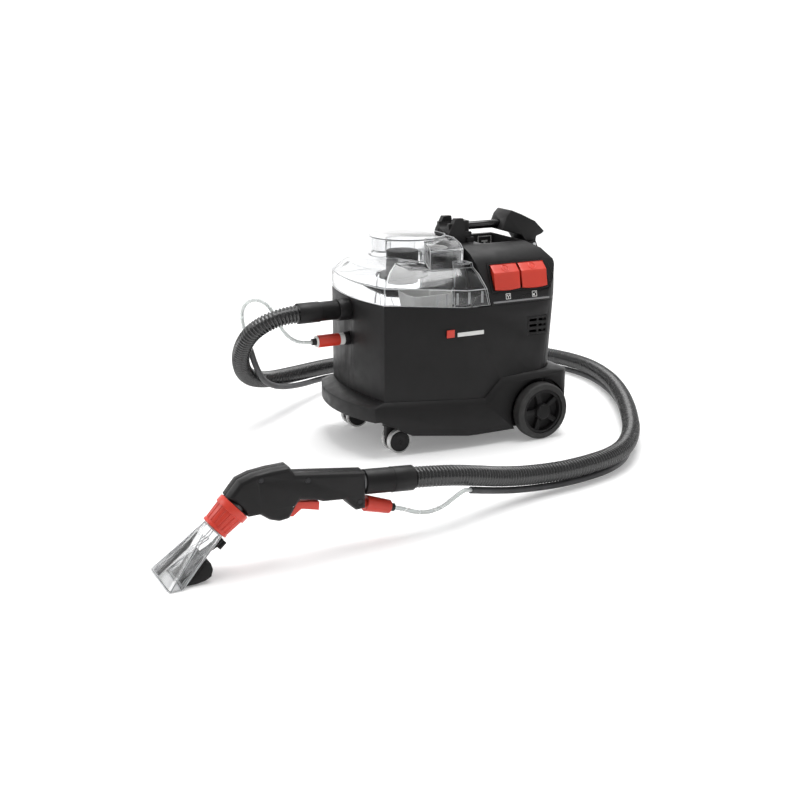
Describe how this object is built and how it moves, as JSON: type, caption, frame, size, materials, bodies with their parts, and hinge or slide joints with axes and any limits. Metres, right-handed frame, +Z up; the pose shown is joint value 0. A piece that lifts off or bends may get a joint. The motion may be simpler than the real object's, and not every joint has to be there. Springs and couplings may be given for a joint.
{
  "type": "carpet cleaner",
  "caption": "Compact spray-extraction carpet cleaner on wheels with a clear lid, folding carrying handle, ribbed suction hose and a hand tool with a clear flared nozzle.",
  "frame": {"origin": "on the floor under the machine, in its middle plane, between the rear wheels and the casters", "axes": "+Z up; +X towards the machine's left-hand side, where the switches and the hand tool are; -Y towards the hose port in the nose, +Y towards the large wheels"},
  "size_m": [0.9677, 1.2365, 0.44],
  "materials": {
    "black_plastic": "fine satin texture",
    "gloss_black": "polished",
    "red_plastic": "satin",
    "clear_plastic": "clear polycarbonate",
    "white_plastic": "satin",
    "grey_plastic": "satin",
    "seal_rubber": "matt",
    "tyre_rubber": "matt",
    "grey_rubber": "matt",
    "steel": "brushed",
    "motor_metal": "painted",
    "hose_plastic": "spiral ribs, satin",
    "sleeve_rubber": "smooth, semi-matt",
    "clear_tube": "clear flexible tube"
  },
  "bodies": {
    "root": {"chassis_base": "black_plastic", "body_shell": "black_plastic", "fresh_tank": "grey_plastic", "waste_tank": "grey_plastic", "control_housing": "black_plastic", "suction_motor": "motor_metal", "fan_case": "black_plastic", "motor_cradle": "black_plastic", "spray_pump": "motor_metal", "cord_gland": "black_plastic", "switch_bezel": "black_plastic", "vent_grille": "black_plastic", "screws": "steel", "handle_hinge_pin": "steel", "rear_axle": "steel", "hose_socket": "black_plastic", "hose_cuff_machine": "black_plastic", "water_socket": "black_plastic", "coupling_rings": "white_plastic", "coupling_machine": "red_plastic", "collets": "black_plastic", "suction_hose": "hose_plastic", "hose_sleeve": "sleeve_rubber", "tube_machine": "clear_tube", "tube_tool": "clear_tube", "hose_cuff_tool": "black_plastic", "coupling_tool": "red_plastic", "tool_shell_left": "black_plastic", "tool_shell_right": "black_plastic", "tool_pipe": "grey_plastic", "trigger_pin": "steel", "tool_valve": "black_plastic", "nozzle_clear": "clear_plastic", "nozzle_back": "black_plastic", "spray_jet": "black_plastic", "lint_filter": "white_plastic"},
    "lid": {"lid_clear": "clear_plastic", "lid_seal": "seal_rubber", "float_cage": "black_plastic"},
    "float": {"float_ball": "white_plastic"},
    "handle": {"handle_bracket": "black_plastic", "handle_bar": "gloss_black", "handle_grip": "black_plastic"},
    "suction_rocker": {"switch_suction": "red_plastic"},
    "spray_rocker": {"switch_spray": "red_plastic"},
    "fan": {"motor_fan": "white_plastic"},
    "trigger": {"tool_trigger": "red_plastic"},
    "nozzle_nut": {"swivel_nut": "red_plastic"},
    "wheel_left": {"tyre_left": "tyre_rubber", "rim_left": "black_plastic", "hubcap_left": "black_plastic"},
    "caster_left": {"caster_hood_left": "black_plastic"},
    "caster_wheels_left": {"caster_discs_left": "black_plastic", "caster_tyres_left": "grey_rubber"},
    "wheel_right": {"tyre_right": "tyre_rubber", "rim_right": "black_plastic", "hubcap_right": "black_plastic"},
    "caster_right": {"caster_hood_right": "black_plastic"},
    "caster_wheels_right": {"caster_discs_right": "black_plastic", "caster_tyres_right": "grey_rubber"}
  },
  "joints": [
    {"name": "lid_lift", "type": "slide", "parent": "root", "child": "lid", "axis": [0, -0.2756, 0.9613], "range_m": [0, 0.12]},
    {"name": "float_rise", "type": "slide", "parent": "lid", "child": "float", "axis": [0, 0, 1], "range_m": [0, 0.02]},
    {"name": "handle_fold", "type": "hinge", "parent": "root", "child": "handle", "pos_m": [0, 0.221, 0.369], "axis": [-1, 0, 0], "range_deg": [0, 95]},
    {"name": "suction_switch", "type": "hinge", "parent": "root", "child": "suction_rocker", "pos_m": [0.118, 0.098, 0.326], "axis": [0, 1, 0], "range_deg": [-4, 4]},
    {"name": "spray_switch", "type": "hinge", "parent": "root", "child": "spray_rocker", "pos_m": [0.118, 0.16, 0.326], "axis": [0, 1, 0], "range_deg": [-4, 4]},
    {"name": "fan_spin", "type": "hinge", "parent": "root", "child": "fan", "pos_m": [0, 0.128, 0.19], "axis": [0, 0, 1], "continuous": true},
    {"name": "trigger_pull", "type": "hinge", "parent": "root", "child": "trigger", "pos_m": [0.463, -0.494, 0.085], "axis": [1, 0, 0], "range_deg": [0, 5], "stiffness_Nm_per_rad": 0.6, "springref_deg": -3.44},
    {"name": "nut_turn", "type": "hinge", "parent": "root", "child": "nozzle_nut", "pos_m": [0.463, -0.581, 0.097], "axis": [0, -0.7501, -0.6613], "continuous": true},
    {"name": "wheel_roll_left", "type": "hinge", "parent": "root", "child": "wheel_left", "pos_m": [0.15, 0.17, 0.057], "axis": [1, 0, 0], "continuous": true},
    {"name": "caster_swivel_left", "type": "hinge", "parent": "root", "child": "caster_left", "pos_m": [0.094, -0.138, 0.06], "axis": [0, 0, 1], "continuous": true},
    {"name": "caster_roll_left", "type": "hinge", "parent": "caster_left", "child": "caster_wheels_left", "pos_m": [0.094, -0.124, 0.024], "axis": [1, 0, 0], "continuous": true},
    {"name": "wheel_roll_right", "type": "hinge", "parent": "root", "child": "wheel_right", "pos_m": [-0.15, 0.17, 0.057], "axis": [1, 0, 0], "continuous": true},
    {"name": "caster_swivel_right", "type": "hinge", "parent": "root", "child": "caster_right", "pos_m": [-0.094, -0.138, 0.06], "axis": [0, 0, 1], "continuous": true},
    {"name": "caster_roll_right", "type": "hinge", "parent": "caster_right", "child": "caster_wheels_right", "pos_m": [-0.094, -0.124, 0.024], "axis": [1, 0, 0], "continuous": true}
  ]
}
